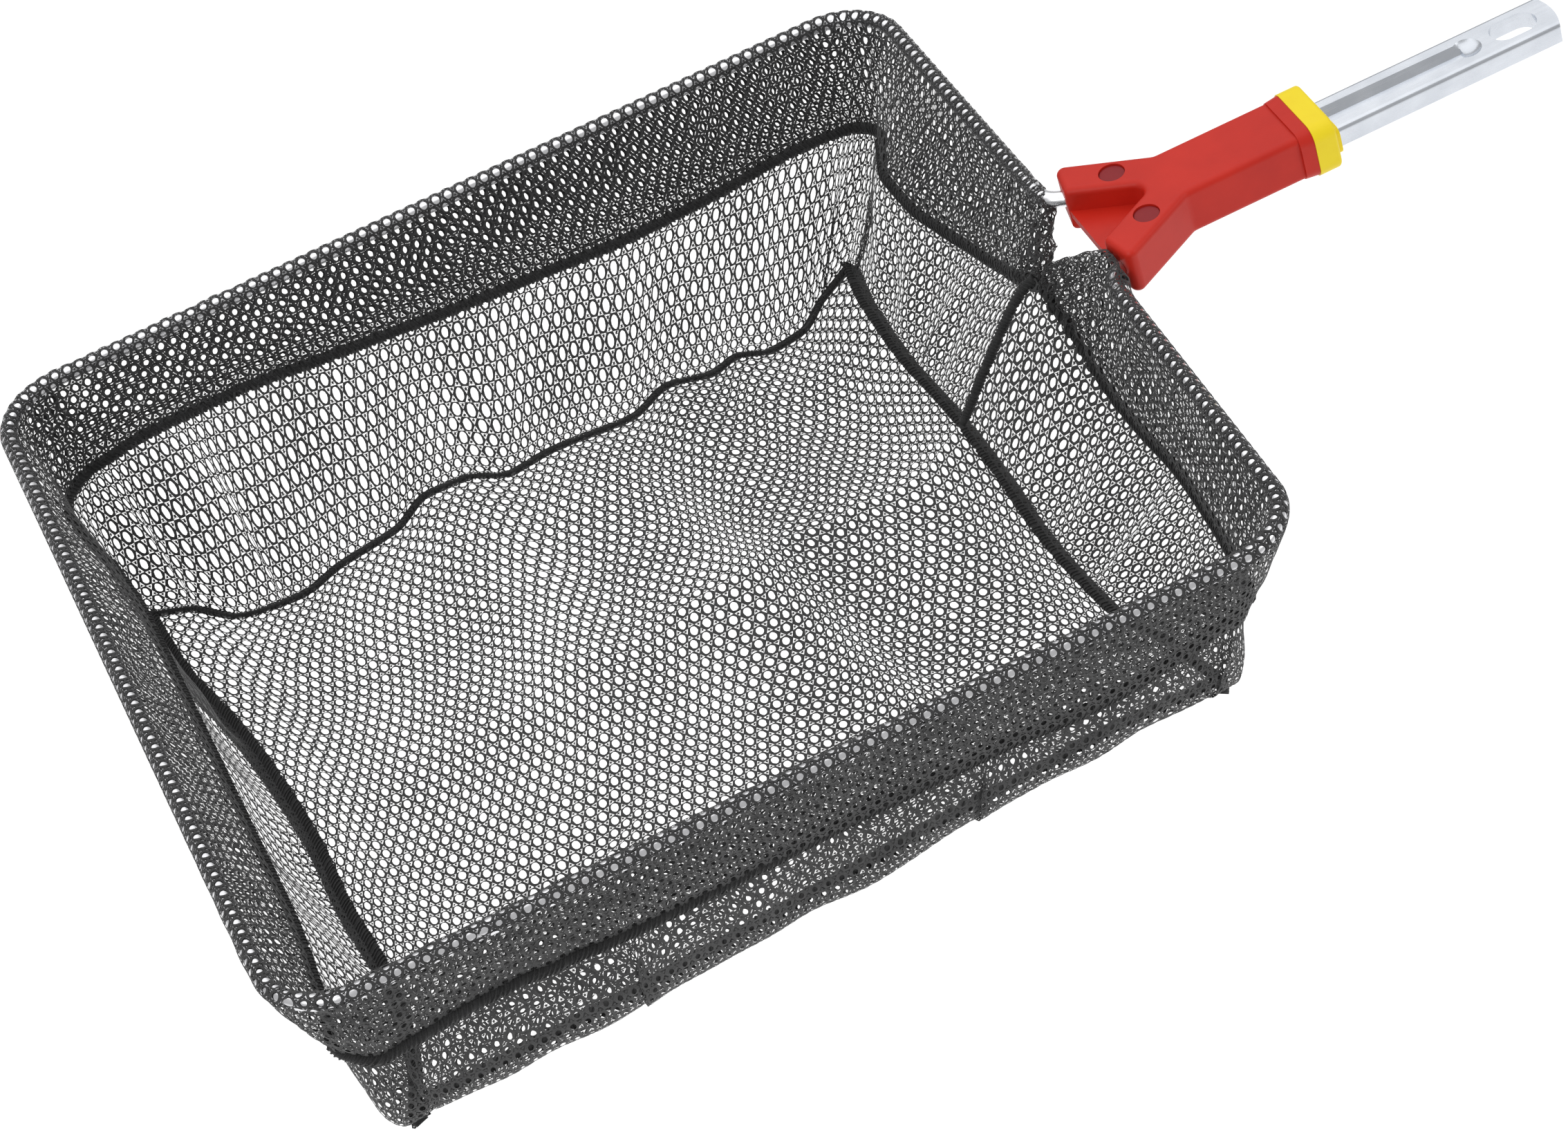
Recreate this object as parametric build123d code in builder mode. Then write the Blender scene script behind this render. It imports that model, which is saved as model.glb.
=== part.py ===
"""Leaf skimmer net head: a square rod frame carrying a knitted mesh bag, with a forked plastic
socket and a pressed steel tang that plugs into a pole.

Frame: +X runs along the tang towards the pole, +Z is up and out of the bag's mouth. The origin is
on the tang's axis, in the plane of the collar's rear face, where the mouth of the pole comes to
rest. Millimetres.
"""
from build123d import *
from math import atan2, cos, radians, sin
import os

# --- driving dimensions -----------------------------------------------------------------------

# rod frame, on the rod's centre line
ring_length = 360.0
ring_width = 360.0
ring_gap = 102.0
ring_corner_radius = 25.0
rod_diameter = 6.0
rod_bend_radius = 10.0
rod_bow = 3.2

# forked socket
fork_angle = 30.0
fork_axis_offset = 25.25
prong_width = 14.9
prong_tip_inner = 8.0
prong_tip_outer = 11.0
socket_half_height = 9.3
socket_half_width = 13.5
socket_rear = 86.0
lip_rear = 91.0
web_thickness = 3.0
recess_along = 26.0
recess_diameter = 9.6
plug_sink = 0.7
plug_thickness = 1.6
edge_round = 2.4
prong_tip_round = 3.0
prong_heel_round = 1.6
crotch_round = 4.5
shoulder_round = 4.0

# rear collar
collar_rear = 99.8
collar_width = 31.4
collar_height = 21.8
collar_corner = 5.5
spigot_rear = 97.0
spigot_width = 25.6
spigot_height = 16.4
spigot_corner = 2.5
collar_edge_round = 1.3
neck_width = 24.6
neck_height = 11.2
neck_corner = 2.6

# tang
tang_front = 48.0
tang_rear = 193.6
tang_width = 20.0
tang_top = 2.9
tang_bottom = -4.9
tang_sheet = 1.8
tang_edge_radius = 1.9
flute_rear = 158.0
slot_centre = 178.0
slot_length = 18.0
slot_width = 11.4
slot_rim = 1.5
flute_depth = 3.0
scoop_radius = 7.5
scoop_depth = 2.2
scoop_centre = 159.5
tang_end_bulge = 2.2
tang_seat_play = 0.3

# bag, as rectangles (x from, x to, y from, y to) in ring coordinates
sleeve_inner_radius = 3.4
sleeve_outer_radius = 4.0
net_thickness = 1.0
hem_z = -42.0
hem_seam_height = 2.6
top_rect = (-ring_length - 0.5, 0.5, -ring_width / 2 - 0.5, ring_width / 2 + 0.5)
notch_far_y = 28.5
notch_near_y = -29.0
hem_rect = (-355.0, -11.0, -170.0, 175.0)
floor_rect = (-341.0, -43.0, -153.0, 151.0)
floor_z_far = -101.0
floor_z_handle = -89.0
floor_seam_width = 5.0
floor_seam_height = 2.6
hem_corner_radius = 20.0
floor_corner_radius = 16.0
closing_seam_y = 15.0
closing_seam_width = 3.0
notch_z = -18.0
gap = 0.1
moving_gap = 0.4

os.makedirs("parts", exist_ok=True)

ring_x = -ring_gap
fork_cos = cos(radians(fork_angle))
fork_sin = sin(radians(fork_angle))


def save(solid, name):
    """Label one finished piece and write it out under its own name."""
    solid.label = name
    export_step(solid, f"parts/{name}.step")
    print(f"{name:24s} {solid.volume / 1000:9.2f} cm3")


def on_fork(x, offset):
    """Height above the handle's axis of a fork line at x; offset is its distance from the origin
    of the ring."""
    return (offset - fork_sin * x) / fork_cos


# --- frame rod ----------------------------------------------------------------------------------

rod_end_x = 37.0
bend_y = on_fork(rod_bow, fork_axis_offset)
half_route = [
    (ring_x + rod_end_x, on_fork(rod_end_x, fork_axis_offset)),
    (ring_x + rod_bow, bend_y),
    (ring_x, ring_width / 2),
    (ring_x - ring_length, ring_width / 2),
]
rod_route = half_route + [(x, -y) for x, y in reversed(half_route)]
rod_radii = [rod_bend_radius] + [ring_corner_radius] * 4 + [rod_bend_radius]
recess_spots = [
    (ring_x + recess_along, on_fork(recess_along, fork_axis_offset)),
    (ring_x + recess_along, -on_fork(recess_along, fork_axis_offset)),
]
screw_diameter = 3.0
screw_hole_play = 0.15
rod_end_chamfer = 0.5

with BuildLine() as rod_line:
    FilletPolyline(*rod_route, radius=rod_radii)

rod_start = Plane(
    origin=(half_route[0][0], half_route[0][1], 0),
    x_dir=(0, 0, 1),
    z_dir=(-fork_cos, fork_sin, 0),
)

with BuildPart() as frame_rod:
    with BuildSketch(rod_start):
        Circle(rod_diameter / 2)
    sweep(path=rod_line.wire())
    with BuildSketch(Plane.XY.offset(-rod_diameter)):
        with Locations(*recess_spots):
            Circle(screw_diameter / 2 + screw_hole_play)
    extrude(amount=2 * rod_diameter, mode=Mode.SUBTRACT)
    chamfer(frame_rod.faces().filter_by(GeomType.PLANE).edges(), rod_end_chamfer)
save(frame_rod.part, "frame_rod")


# --- tang ---------------------------------------------------------------------------------------

pin_spots = [(ring_x + 58.0, 0.0), (ring_x + 78.0, 0.0)]
pin_diameter = 4.0
pin_hole_play = 0.1
tang_height = tang_top - tang_bottom
channel_height = tang_height - tang_sheet
tang_mid = (tang_top + tang_bottom) / 2
rim_height = tang_height - 2.0
flute_sheet = 1.4
scoop_sheet = 1.6
scoop_wall = 1.0
flute_flare = 0.5
cut_past = 1.0

# the flute as trapezoids across the tang: distance along, width at the top, width of its floor
flute_outside = [(tang_front, 13.6, 6.4), (flute_rear, 10.6, 5.4)]
flute_inside = [(tang_front - 0.01, 12.0, 4.4), (flute_rear, 9.0, 3.4)]

with BuildPart() as tang:
    with BuildSketch(Plane.XY.offset(tang_bottom)):
        with BuildLine():
            front_low = (ring_x + tang_front, -tang_width / 2)
            front_high = (ring_x + tang_front, tang_width / 2)
            rear_low = (ring_x + tang_rear - tang_end_bulge, -tang_width / 2)
            rear_high = (ring_x + tang_rear - tang_end_bulge, tang_width / 2)
            Line(front_low, rear_low)
            ThreePointArc(rear_low, (ring_x + tang_rear, 0), rear_high)
            Line(rear_high, front_high)
            Line(front_high, front_low)
        make_face()
    extrude(amount=tang_height)
    top_edges = tang.faces().sort_by(Axis.Z)[-1].edges()
    fillet(top_edges.filter_by(Axis.X), tang_edge_radius)
    # open channel underneath
    with BuildSketch(Plane.YZ.offset(ring_x + tang_front - cut_past)):
        with Locations((0, tang_bottom + channel_height / 2 - cut_past)):
            Rectangle(tang_width - 2 * tang_sheet, channel_height + 2 * cut_past)
    extrude(amount=tang_rear - tang_front + 2 * cut_past, mode=Mode.SUBTRACT)
    # the flute's underside, then the flute itself
    for along, width, floor_width in flute_outside:
        with BuildSketch(Plane.YZ.offset(ring_x + along)):
            Polygon(
                (-width / 2, tang_top - tang_sheet / 2),
                (-floor_width / 2, tang_top - flute_depth - flute_sheet),
                (floor_width / 2, tang_top - flute_depth - flute_sheet),
                (width / 2, tang_top - tang_sheet / 2),
                align=None,
            )
    loft()
    for along, width, floor_width in flute_inside:
        with BuildSketch(Plane.YZ.offset(ring_x + along)):
            Polygon(
                (-width / 2, tang_top + flute_flare),
                (-floor_width / 2, tang_top - flute_depth),
                (floor_width / 2, tang_top - flute_depth),
                (width / 2, tang_top + flute_flare),
                align=None,
            )
    loft(mode=Mode.SUBTRACT)
    # scoop where the flute ends, pressed down from the top sheet
    with BuildSketch(Plane.XY.offset(tang_top - tang_sheet - scoop_sheet)):
        with Locations((ring_x + scoop_centre, 0)):
            Circle(scoop_radius - scoop_wall)
        with Locations((ring_x + flute_rear - scoop_radius, 0)):
            Rectangle(2 * scoop_radius, 2 * scoop_radius, mode=Mode.SUBTRACT)
    extrude(amount=scoop_sheet + 0.2)
    with Locations((ring_x + scoop_centre, 0, tang_top + scoop_radius - scoop_depth)):
        Sphere(scoop_radius, mode=Mode.SUBTRACT)
    # locking slot with its drawn rim
    with BuildSketch(Plane.XY.offset(tang_top - tang_sheet / 2 - rim_height)):
        with Locations((ring_x + slot_centre, 0)):
            SlotOverall(slot_length + 2 * slot_rim, slot_width + 2 * slot_rim)
    extrude(amount=rim_height)
    with BuildSketch(Plane.XY.offset(tang_bottom - cut_past)):
        with Locations((ring_x + slot_centre, 0)):
            SlotOverall(slot_length, slot_width)
    extrude(amount=tang_height + 2 * cut_past, mode=Mode.SUBTRACT)
    # holes for the two cross pins
    with BuildSketch(Plane.XY.offset(tang_bottom - cut_past)):
        with Locations(*pin_spots):
            Circle(pin_diameter / 2 + pin_hole_play)
    extrude(amount=tang_height + 2 * cut_past, mode=Mode.SUBTRACT)
save(tang.part, "tang")


# --- socket shells ------------------------------------------------------------------------------

outer_offset = fork_axis_offset + prong_width / 2
inner_offset = fork_axis_offset - prong_width / 2
shoulder_x = (outer_offset - fork_cos * socket_half_width) / fork_sin
half_outline = [
    (ring_x + socket_rear, socket_half_width),
    (ring_x + shoulder_x, socket_half_width),
    (ring_x + prong_tip_outer, on_fork(prong_tip_outer, outer_offset)),
    (ring_x + prong_tip_inner, on_fork(prong_tip_inner, inner_offset)),
    (ring_x + inner_offset / fork_sin, 0.0),
]
outline = half_outline + [(x, -y) for x, y in reversed(half_outline[:-1])]
web_front = prong_tip_inner + 0.4
web_root = inner_offset / fork_sin
web_overlap = 3.0
web_outline = [
    (ring_x + web_front, on_fork(web_front, inner_offset) + web_overlap),
    (ring_x + web_root, web_overlap),
    (ring_x + web_root, -web_overlap),
    (ring_x + web_front, -on_fork(web_front, inner_offset) - web_overlap),
]
lip_foot = (29.0, 20.2, 4.6)
lip_top = (collar_width - 0.6, collar_height - 0.6, collar_corner)
groove_end_x = rod_end_x + 0.3
groove_length = 50.0
groove_play = 0.12
plug_bottom = socket_half_height - plug_sink - plug_thickness
screw_seat_z = 4.5
screw_head_diameter = 6.6
screw_head_height = 2.3
screw_tip_z = -7.4
pin_half_length = 7.6
pocket_spots = [ring_x + x for x in (52.5, 64.0, 72.0, 84.0)]
pocket_length = 5.0
pocket_width = 16.0
upper_pocket = (4.6, 4.6)
lower_pocket = (-6.0, 2.6)


def vertices_at(sketch, x):
    """The sketch's vertices at one distance along the handle's axis, in ring coordinates."""
    return sketch.vertices().filter_by_position(Axis.X, ring_x + x - 0.2, ring_x + x + 0.2)


with BuildPart() as rod_grooves:
    for sign in (1, -1):
        groove = Plane(
            origin=(ring_x + groove_end_x, sign * on_fork(groove_end_x, fork_axis_offset), 0),
            x_dir=(0, 0, 1),
            z_dir=(-fork_cos, sign * fork_sin, 0),
        )
        with BuildSketch(groove):
            Circle(rod_diameter / 2 + groove_play)
        extrude(amount=groove_length)


def socket_block():
    """The whole moulding, before it is parted along the rod's plane."""
    with BuildPart() as block:
        with BuildSketch(Plane.XY.offset(-socket_half_height)) as plan:
            Polygon(*outline, align=None)
            fillet(vertices_at(plan, prong_tip_inner), prong_heel_round)
            fillet(vertices_at(plan, prong_tip_outer), prong_tip_round)
            fillet(vertices_at(plan, web_root), crotch_round)
            fillet(vertices_at(plan, shoulder_x), shoulder_round)
        extrude(amount=2 * socket_half_height)
        rims = block.faces().sort_by(Axis.Z)
        rim_edges = rims[0].edges() + rims[-1].edges()
        fillet(rim_edges.filter_by_position(Axis.X, -ring_gap - 10, ring_x + socket_rear - 1), edge_round)
        # lip that the collar closes against
        for x, section in ((socket_rear, lip_foot), (lip_rear, lip_top)):
            with BuildSketch(Plane.YZ.offset(ring_x + x)):
                RectangleRounded(*section)
        loft()
        # spigot inside the collar
        with BuildSketch(Plane.YZ.offset(ring_x + lip_rear)):
            RectangleRounded(spigot_width, spigot_height, spigot_corner)
        extrude(amount=spigot_rear - lip_rear)
        # seat for the tang
        with BuildSketch(Plane.YZ.offset(ring_x + tang_front - tang_seat_play)):
            with Locations((0, tang_mid)):
                Rectangle(tang_width + tang_seat_play, tang_height + tang_seat_play)
        extrude(amount=tang_rear - tang_front, mode=Mode.SUBTRACT)
        # holes for the tang's cross pins
        with BuildSketch(Plane.XY.offset(-pin_half_length - gap)):
            with Locations(*pin_spots):
                Circle(pin_diameter / 2 + gap / 2)
        extrude(amount=2 * (pin_half_length + gap), mode=Mode.SUBTRACT)
    return block.part


socket = socket_block()

with BuildPart() as socket_upper_shell:
    add(socket)
    split(bisect_by=Plane.XY, keep=Keep.TOP)
    add(rod_grooves.part, mode=Mode.SUBTRACT)
    # screw recesses, stepped for the plug, the head and the shank
    for bottom, width in (
        (plug_bottom - gap, recess_diameter),
        (screw_seat_z, screw_head_diameter + 4 * gap),
        (-cut_past, screw_diameter + 2 * gap),
    ):
        with BuildSketch(Plane.XY.offset(bottom)):
            with Locations(*recess_spots):
                Circle(width / 2)
        extrude(amount=socket_half_height + cut_past - bottom, mode=Mode.SUBTRACT)
    # coring above the tang leaves ribs between the pockets
    with Locations(*[(x, 0, upper_pocket[0]) for x in pocket_spots]):
        Box(pocket_length, pocket_width, upper_pocket[1], mode=Mode.SUBTRACT)
save(socket_upper_shell.part, "socket_upper_shell")

with BuildPart() as socket_lower_shell:
    add(socket)
    split(bisect_by=Plane.XY, keep=Keep.BOTTOM)
    with BuildSketch(Plane.XY.offset(-web_thickness)):
        Polygon(*web_outline, align=None)
    extrude(amount=web_thickness)
    add(rod_grooves.part, mode=Mode.SUBTRACT)
    with BuildSketch(Plane.XY.offset(screw_tip_z - gap)):
        with Locations(*recess_spots):
            Circle(screw_diameter / 2 + gap / 2)
    extrude(amount=cut_past - screw_tip_z, mode=Mode.SUBTRACT)
    # coring below the tang
    with Locations(*[(x, 0, lower_pocket[0]) for x in pocket_spots]):
        Box(pocket_length, pocket_width, lower_pocket[1], mode=Mode.SUBTRACT)
save(socket_lower_shell.part, "socket_lower_shell")


# --- small hardware in the socket ---------------------------------------------------------------

cross_length = 3.6
cross_width = 0.8
cross_depth = 1.4
plug_chamfer = 0.25

with BuildPart() as rod_screws:
    with BuildSketch(Plane.XY.offset(screw_tip_z)):
        with Locations(*recess_spots):
            Circle(screw_diameter / 2)
    extrude(amount=screw_seat_z - screw_tip_z)
    with BuildSketch(Plane.XY.offset(screw_seat_z)):
        with Locations(*recess_spots):
            Circle(screw_head_diameter / 2)
    extrude(amount=screw_head_height)
    with BuildSketch(Plane.XY.offset(screw_seat_z + screw_head_height - cross_depth)):
        with Locations(*recess_spots):
            Rectangle(cross_length, cross_width)
            Rectangle(cross_width, cross_length)
    extrude(amount=cross_depth + gap, mode=Mode.SUBTRACT)
save(rod_screws.part, "rod_screws")

with BuildPart() as recess_plugs:
    with BuildSketch(Plane.XY.offset(plug_bottom)):
        with Locations(*recess_spots):
            Circle(recess_diameter / 2 - gap / 2)
    extrude(amount=plug_thickness)
    chamfer(recess_plugs.faces().group_by(Axis.Z)[-1].edges(), plug_chamfer)
save(recess_plugs.part, "recess_plugs")

with BuildPart() as tang_pins:
    with BuildSketch(Plane.XY.offset(-pin_half_length)):
        with Locations(*pin_spots):
            Circle(pin_diameter / 2)
    extrude(amount=2 * pin_half_length)
save(tang_pins.part, "tang_pins")


# --- collar -------------------------------------------------------------------------------------

with BuildPart() as collar:
    with BuildSketch(Plane.YZ.offset(ring_x + lip_rear + gap / 2)):
        RectangleRounded(collar_width, collar_height, collar_corner)
    extrude(amount=collar_rear - lip_rear - gap / 2)
    fillet(collar.faces().sort_by(Axis.X)[-1].edges(), collar_edge_round)
    # neck round the tang
    with BuildSketch(Plane.YZ.offset(ring_x + spigot_rear + cut_past)):
        with Locations((0, tang_mid)):
            RectangleRounded(neck_width, neck_height, neck_corner)
    extrude(amount=ring_gap - spigot_rear - cut_past)
    with BuildSketch(Plane.YZ.offset(ring_x + lip_rear)):
        RectangleRounded(spigot_width + gap, spigot_height + gap, spigot_corner)
    extrude(amount=spigot_rear - lip_rear + gap, mode=Mode.SUBTRACT)
    with BuildSketch(Plane.YZ.offset(ring_x + spigot_rear - cut_past)):
        with Locations((0, tang_mid)):
            Rectangle(tang_width + tang_seat_play, tang_height + tang_seat_play)
    extrude(amount=2 * (ring_gap - spigot_rear), mode=Mode.SUBTRACT)
save(collar.part, "collar")


# --- mesh bag -----------------------------------------------------------------------------------

floor_length = floor_rect[1] - floor_rect[0]
floor_tilt = atan2(floor_z_handle - floor_z_far, floor_length)
floor_centre_x = (floor_rect[0] + floor_rect[1]) / 2
floor_plane = Plane(
    origin=(ring_x + floor_centre_x, 0, (floor_z_far + floor_z_handle) / 2),
    x_dir=(cos(floor_tilt), 0, sin(floor_tilt)),
    z_dir=(-sin(floor_tilt), 0, cos(floor_tilt)),
)
floor_local = (-floor_length / 2, floor_length / 2, floor_rect[2], floor_rect[3])
sleeve_top_z = -(sleeve_inner_radius + sleeve_outer_radius) / 2
wall_top_z = hem_z - hem_seam_height - 2 * gap
wall_foot = floor_seam_height / 2 + moving_gap


def level(z):
    """Horizontal plane at height z whose origin is the middle of the handle side of the ring."""
    return Plane(origin=(ring_x, 0, z), x_dir=(1, 0, 0), z_dir=(0, 0, 1))


def rounded(rect, inset, corner):
    """Rounded rectangle (x from, x to, y from, y to), drawn inset on the current plane."""
    length = rect[1] - rect[0] - 2 * inset
    width = rect[3] - rect[2] - 2 * inset
    with Locations(((rect[0] + rect[1]) / 2, (rect[2] + rect[3]) / 2)):
        RectangleRounded(length, width, corner - inset)


def band(top, bottom, outset, thickness):
    """Closed band of cloth round the bag, between two levels. Each level is a plane, a rectangle
    and its corner radius."""
    with BuildPart() as strip:
        for inset, mode in ((-outset, Mode.ADD), (thickness - outset, Mode.SUBTRACT)):
            for plane, rect, corner in (top, bottom):
                with BuildSketch(plane):
                    rounded(rect, inset, corner)
            loft(mode=mode)
    return strip.part


# each side of the bag is cut out of the whole band by a mitred region
cut_reach = 20.0
cut_depth = 80.0
corners = [
    (-ring_length - cut_reach, ring_width / 2 + cut_reach),
    (cut_reach, ring_width / 2 + cut_reach),
]
corners += [(x, -y) for x, y in reversed(corners)]
inner = [
    (-ring_length + cut_depth, ring_width / 2 - cut_depth),
    (-cut_depth, ring_width / 2 - cut_depth),
]
inner += [(x, -y) for x, y in reversed(inner)]
seam_edge = closing_seam_width / 2 + gap
sides = {
    "far": [corners[0], corners[1], inner[1], inner[0]],
    "near": [corners[2], corners[3], inner[3], inner[2]],
    "end": [corners[3], corners[0], inner[0], inner[3]],
    "handle_far": [corners[1], (cut_reach, closing_seam_y), (-cut_depth, closing_seam_y), inner[1]],
    "handle_near": [(cut_reach, closing_seam_y), corners[2], inner[2], (-cut_depth, closing_seam_y)],
}
notch_outline = [
    (notch_far_y, cut_reach),
    (notch_far_y, sleeve_top_z - net_thickness),
    (closing_seam_y, notch_z),
    (notch_near_y, sleeve_top_z - net_thickness),
    (notch_near_y, cut_reach),
]

# cloth loop round the rod, swept along everything outside the socket
loop_start_x = 8.9
loop_start = (ring_x + loop_start_x, on_fork(loop_start_x, fork_axis_offset))
loop_route = [loop_start] + half_route[1:]
loop_route += [(x, -y) for x, y in reversed(loop_route)]

with BuildLine() as loop_line:
    FilletPolyline(*loop_route, radius=rod_radii)

loop_plane = Plane(
    origin=(loop_start[0], loop_start[1], 0),
    x_dir=(0, 0, 1),
    z_dir=(-fork_cos, fork_sin, 0),
)

with BuildPart() as cloth_loop:
    with BuildSketch(loop_plane):
        Circle(sleeve_outer_radius)
        Circle(sleeve_inner_radius, mode=Mode.SUBTRACT)
    sweep(path=loop_line.wire())

top_level = (level(sleeve_top_z), top_rect, ring_corner_radius + 0.5)
hem_level = (level(hem_z), hem_rect, hem_corner_radius)
hem_band = band(top_level, hem_level, 0.0, net_thickness)

for side, outline_points in sides.items():
    with BuildPart() as sleeve:
        add(cloth_loop.part)
        add(hem_band)
        with BuildSketch(level(hem_z - cut_reach)):
            Polygon(*outline_points, align=None)
        extrude(amount=2 * cut_reach - hem_z, mode=Mode.INTERSECT)
        if side.startswith("handle"):
            with BuildSketch(Plane.YZ.offset(ring_x - cut_depth)):
                Polygon(*notch_outline, align=None)
            extrude(amount=cut_depth + cut_reach, mode=Mode.SUBTRACT)
    save(sleeve.part, f"sleeve_{side}")

seam_top = (level(hem_z - gap), hem_rect, hem_corner_radius)
seam_bottom = (level(hem_z - gap - hem_seam_height), hem_rect, hem_corner_radius)
seam_stand = 0.7
save(band(seam_top, seam_bottom, seam_stand, net_thickness + 2 * seam_stand), "hem_seam")

wall_level = (level(wall_top_z), hem_rect, hem_corner_radius)
foot_level = (floor_plane.offset(wall_foot), floor_local, floor_corner_radius)
wall_band = band(wall_level, foot_level, 0.0, net_thickness)

for side, outline_points in sides.items():
    with BuildPart() as wall:
        add(wall_band)
        with BuildSketch(level(floor_z_far - cut_reach)):
            Polygon(*outline_points, align=None)
        extrude(amount=-floor_z_far, mode=Mode.INTERSECT)
        if side.startswith("handle"):
            with BuildSketch(level(floor_z_far - cut_reach)):
                with Locations((0, closing_seam_y)):
                    Rectangle(2 * cut_depth, 2 * seam_edge)
            extrude(amount=-floor_z_far, mode=Mode.SUBTRACT)
    save(wall.part, f"wall_{side}")

with BuildPart() as closing_seam:
    add(band(wall_level, foot_level, seam_stand, net_thickness + 2 * seam_stand))
    with BuildSketch(level(floor_z_far - cut_reach)):
        with Locations((0, closing_seam_y)):
            Rectangle(2 * cut_depth, closing_seam_width)
    extrude(amount=-floor_z_far, mode=Mode.INTERSECT)
save(closing_seam.part, "closing_seam")

with BuildPart() as floor_seam:
    with BuildSketch(floor_plane.offset(-floor_seam_height / 2)):
        rounded(floor_local, 0.0, floor_corner_radius)
    extrude(amount=floor_seam_height)
    with BuildSketch(floor_plane.offset(-floor_seam_height)):
        rounded(floor_local, floor_seam_width, floor_corner_radius)
    extrude(amount=2 * floor_seam_height, mode=Mode.SUBTRACT)
save(floor_seam.part, "floor_seam")

with BuildPart() as floor_panel:
    with BuildSketch(floor_plane.offset(-net_thickness / 2)):
        rounded(floor_local, floor_seam_width + gap, floor_corner_radius)
    extrude(amount=net_thickness)
save(floor_panel.part, "floor_panel")
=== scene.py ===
# Leaf skimmer net head: a knitted net bag on a square rod ring, in a two-prong plastic socket.
import math

import bpy
import numpy as np
from mathutils import Matrix, Vector


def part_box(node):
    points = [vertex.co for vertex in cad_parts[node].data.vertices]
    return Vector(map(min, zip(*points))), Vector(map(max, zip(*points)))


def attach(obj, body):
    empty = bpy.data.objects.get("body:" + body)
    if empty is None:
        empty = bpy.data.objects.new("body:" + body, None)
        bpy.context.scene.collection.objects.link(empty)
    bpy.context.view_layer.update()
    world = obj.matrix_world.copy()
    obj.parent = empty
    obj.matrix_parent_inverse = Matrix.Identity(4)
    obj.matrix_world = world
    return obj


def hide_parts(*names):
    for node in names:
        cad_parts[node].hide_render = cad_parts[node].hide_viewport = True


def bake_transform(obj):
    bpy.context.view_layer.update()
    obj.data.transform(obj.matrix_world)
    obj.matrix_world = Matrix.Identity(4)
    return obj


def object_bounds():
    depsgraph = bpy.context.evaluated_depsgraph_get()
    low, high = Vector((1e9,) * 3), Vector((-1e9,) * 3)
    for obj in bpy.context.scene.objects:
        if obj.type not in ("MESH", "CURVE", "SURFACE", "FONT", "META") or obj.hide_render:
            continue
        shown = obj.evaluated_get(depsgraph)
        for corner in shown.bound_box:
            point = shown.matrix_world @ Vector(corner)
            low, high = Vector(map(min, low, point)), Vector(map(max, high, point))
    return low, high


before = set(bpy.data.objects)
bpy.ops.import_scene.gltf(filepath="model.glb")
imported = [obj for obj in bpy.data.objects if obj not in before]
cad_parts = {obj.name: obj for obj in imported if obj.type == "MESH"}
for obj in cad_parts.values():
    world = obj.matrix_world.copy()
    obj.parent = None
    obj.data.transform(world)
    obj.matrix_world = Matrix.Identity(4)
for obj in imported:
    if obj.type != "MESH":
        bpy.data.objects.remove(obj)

cad_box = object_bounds()
MM = 0.001

# ---------------------------------------------------------------- camera
# Eye point and directions, in metres, of the view that the photograph shows.
EYE = Vector((-0.4469, -1.2184, 1.0116))
FORWARD = Vector((0.1287, 0.7388, -0.6615))
UPWARD = Vector((0.4295, 0.5597, 0.7087))
camera = bpy.data.objects.new("camera", bpy.data.cameras.new("camera"))
bpy.context.scene.collection.objects.link(camera)
side_axis = FORWARD.cross(UPWARD).normalized()
up_axis = side_axis.cross(FORWARD).normalized()
camera.matrix_world = Matrix.Translation(EYE) @ Matrix(
    (side_axis, up_axis, -FORWARD.normalized())).transposed().to_4x4()
camera.data.lens = 106.2
camera.data.sensor_width = 36.0
camera.data.clip_start, camera.data.clip_end = 0.05, 50.0
bpy.context.scene.camera = camera

# ---------------------------------------------------------------- the ring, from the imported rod
ROD_RADIUS = 3.0
CORNER_RADIUS = 25.0
rod_low, rod_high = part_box("frame_rod")
HALF_RING = (rod_high.y - rod_low.y) / MM / 2 - ROD_RADIUS
RING_X = rod_low.x / MM + ROD_RADIUS + 2 * HALF_RING
STRAIGHT = 2 * (HALF_RING - CORNER_RADIUS)
ARC = math.pi / 2 * CORNER_RADIUS
NOTCH_Y = 15.0
# Cloth positions: mm round the ring from the notch, at the start of the first corner and of each side.
U_CORNER_1 = HALF_RING - CORNER_RADIUS - NOTCH_Y
U_FAR = U_CORNER_1 + ARC
U_END = U_FAR + STRAIGHT + ARC
U_NEAR = U_END + STRAIGHT + ARC
U_BACK = U_NEAR + STRAIGHT + ARC
U_TOTAL = U_BACK + (HALF_RING - CORNER_RADIUS) + NOTCH_Y
# The middles of the ring's four corners.
U_C1, U_C2 = U_CORNER_1 + ARC / 2, U_END - ARC / 2
U_C3, U_C4 = U_NEAR - ARC / 2, U_BACK - ARC / 2
# Spacing of the net's holes along a row, and of its rows.
PITCH = 5.0
ROW = PITCH * math.sqrt(3) / 2


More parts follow.
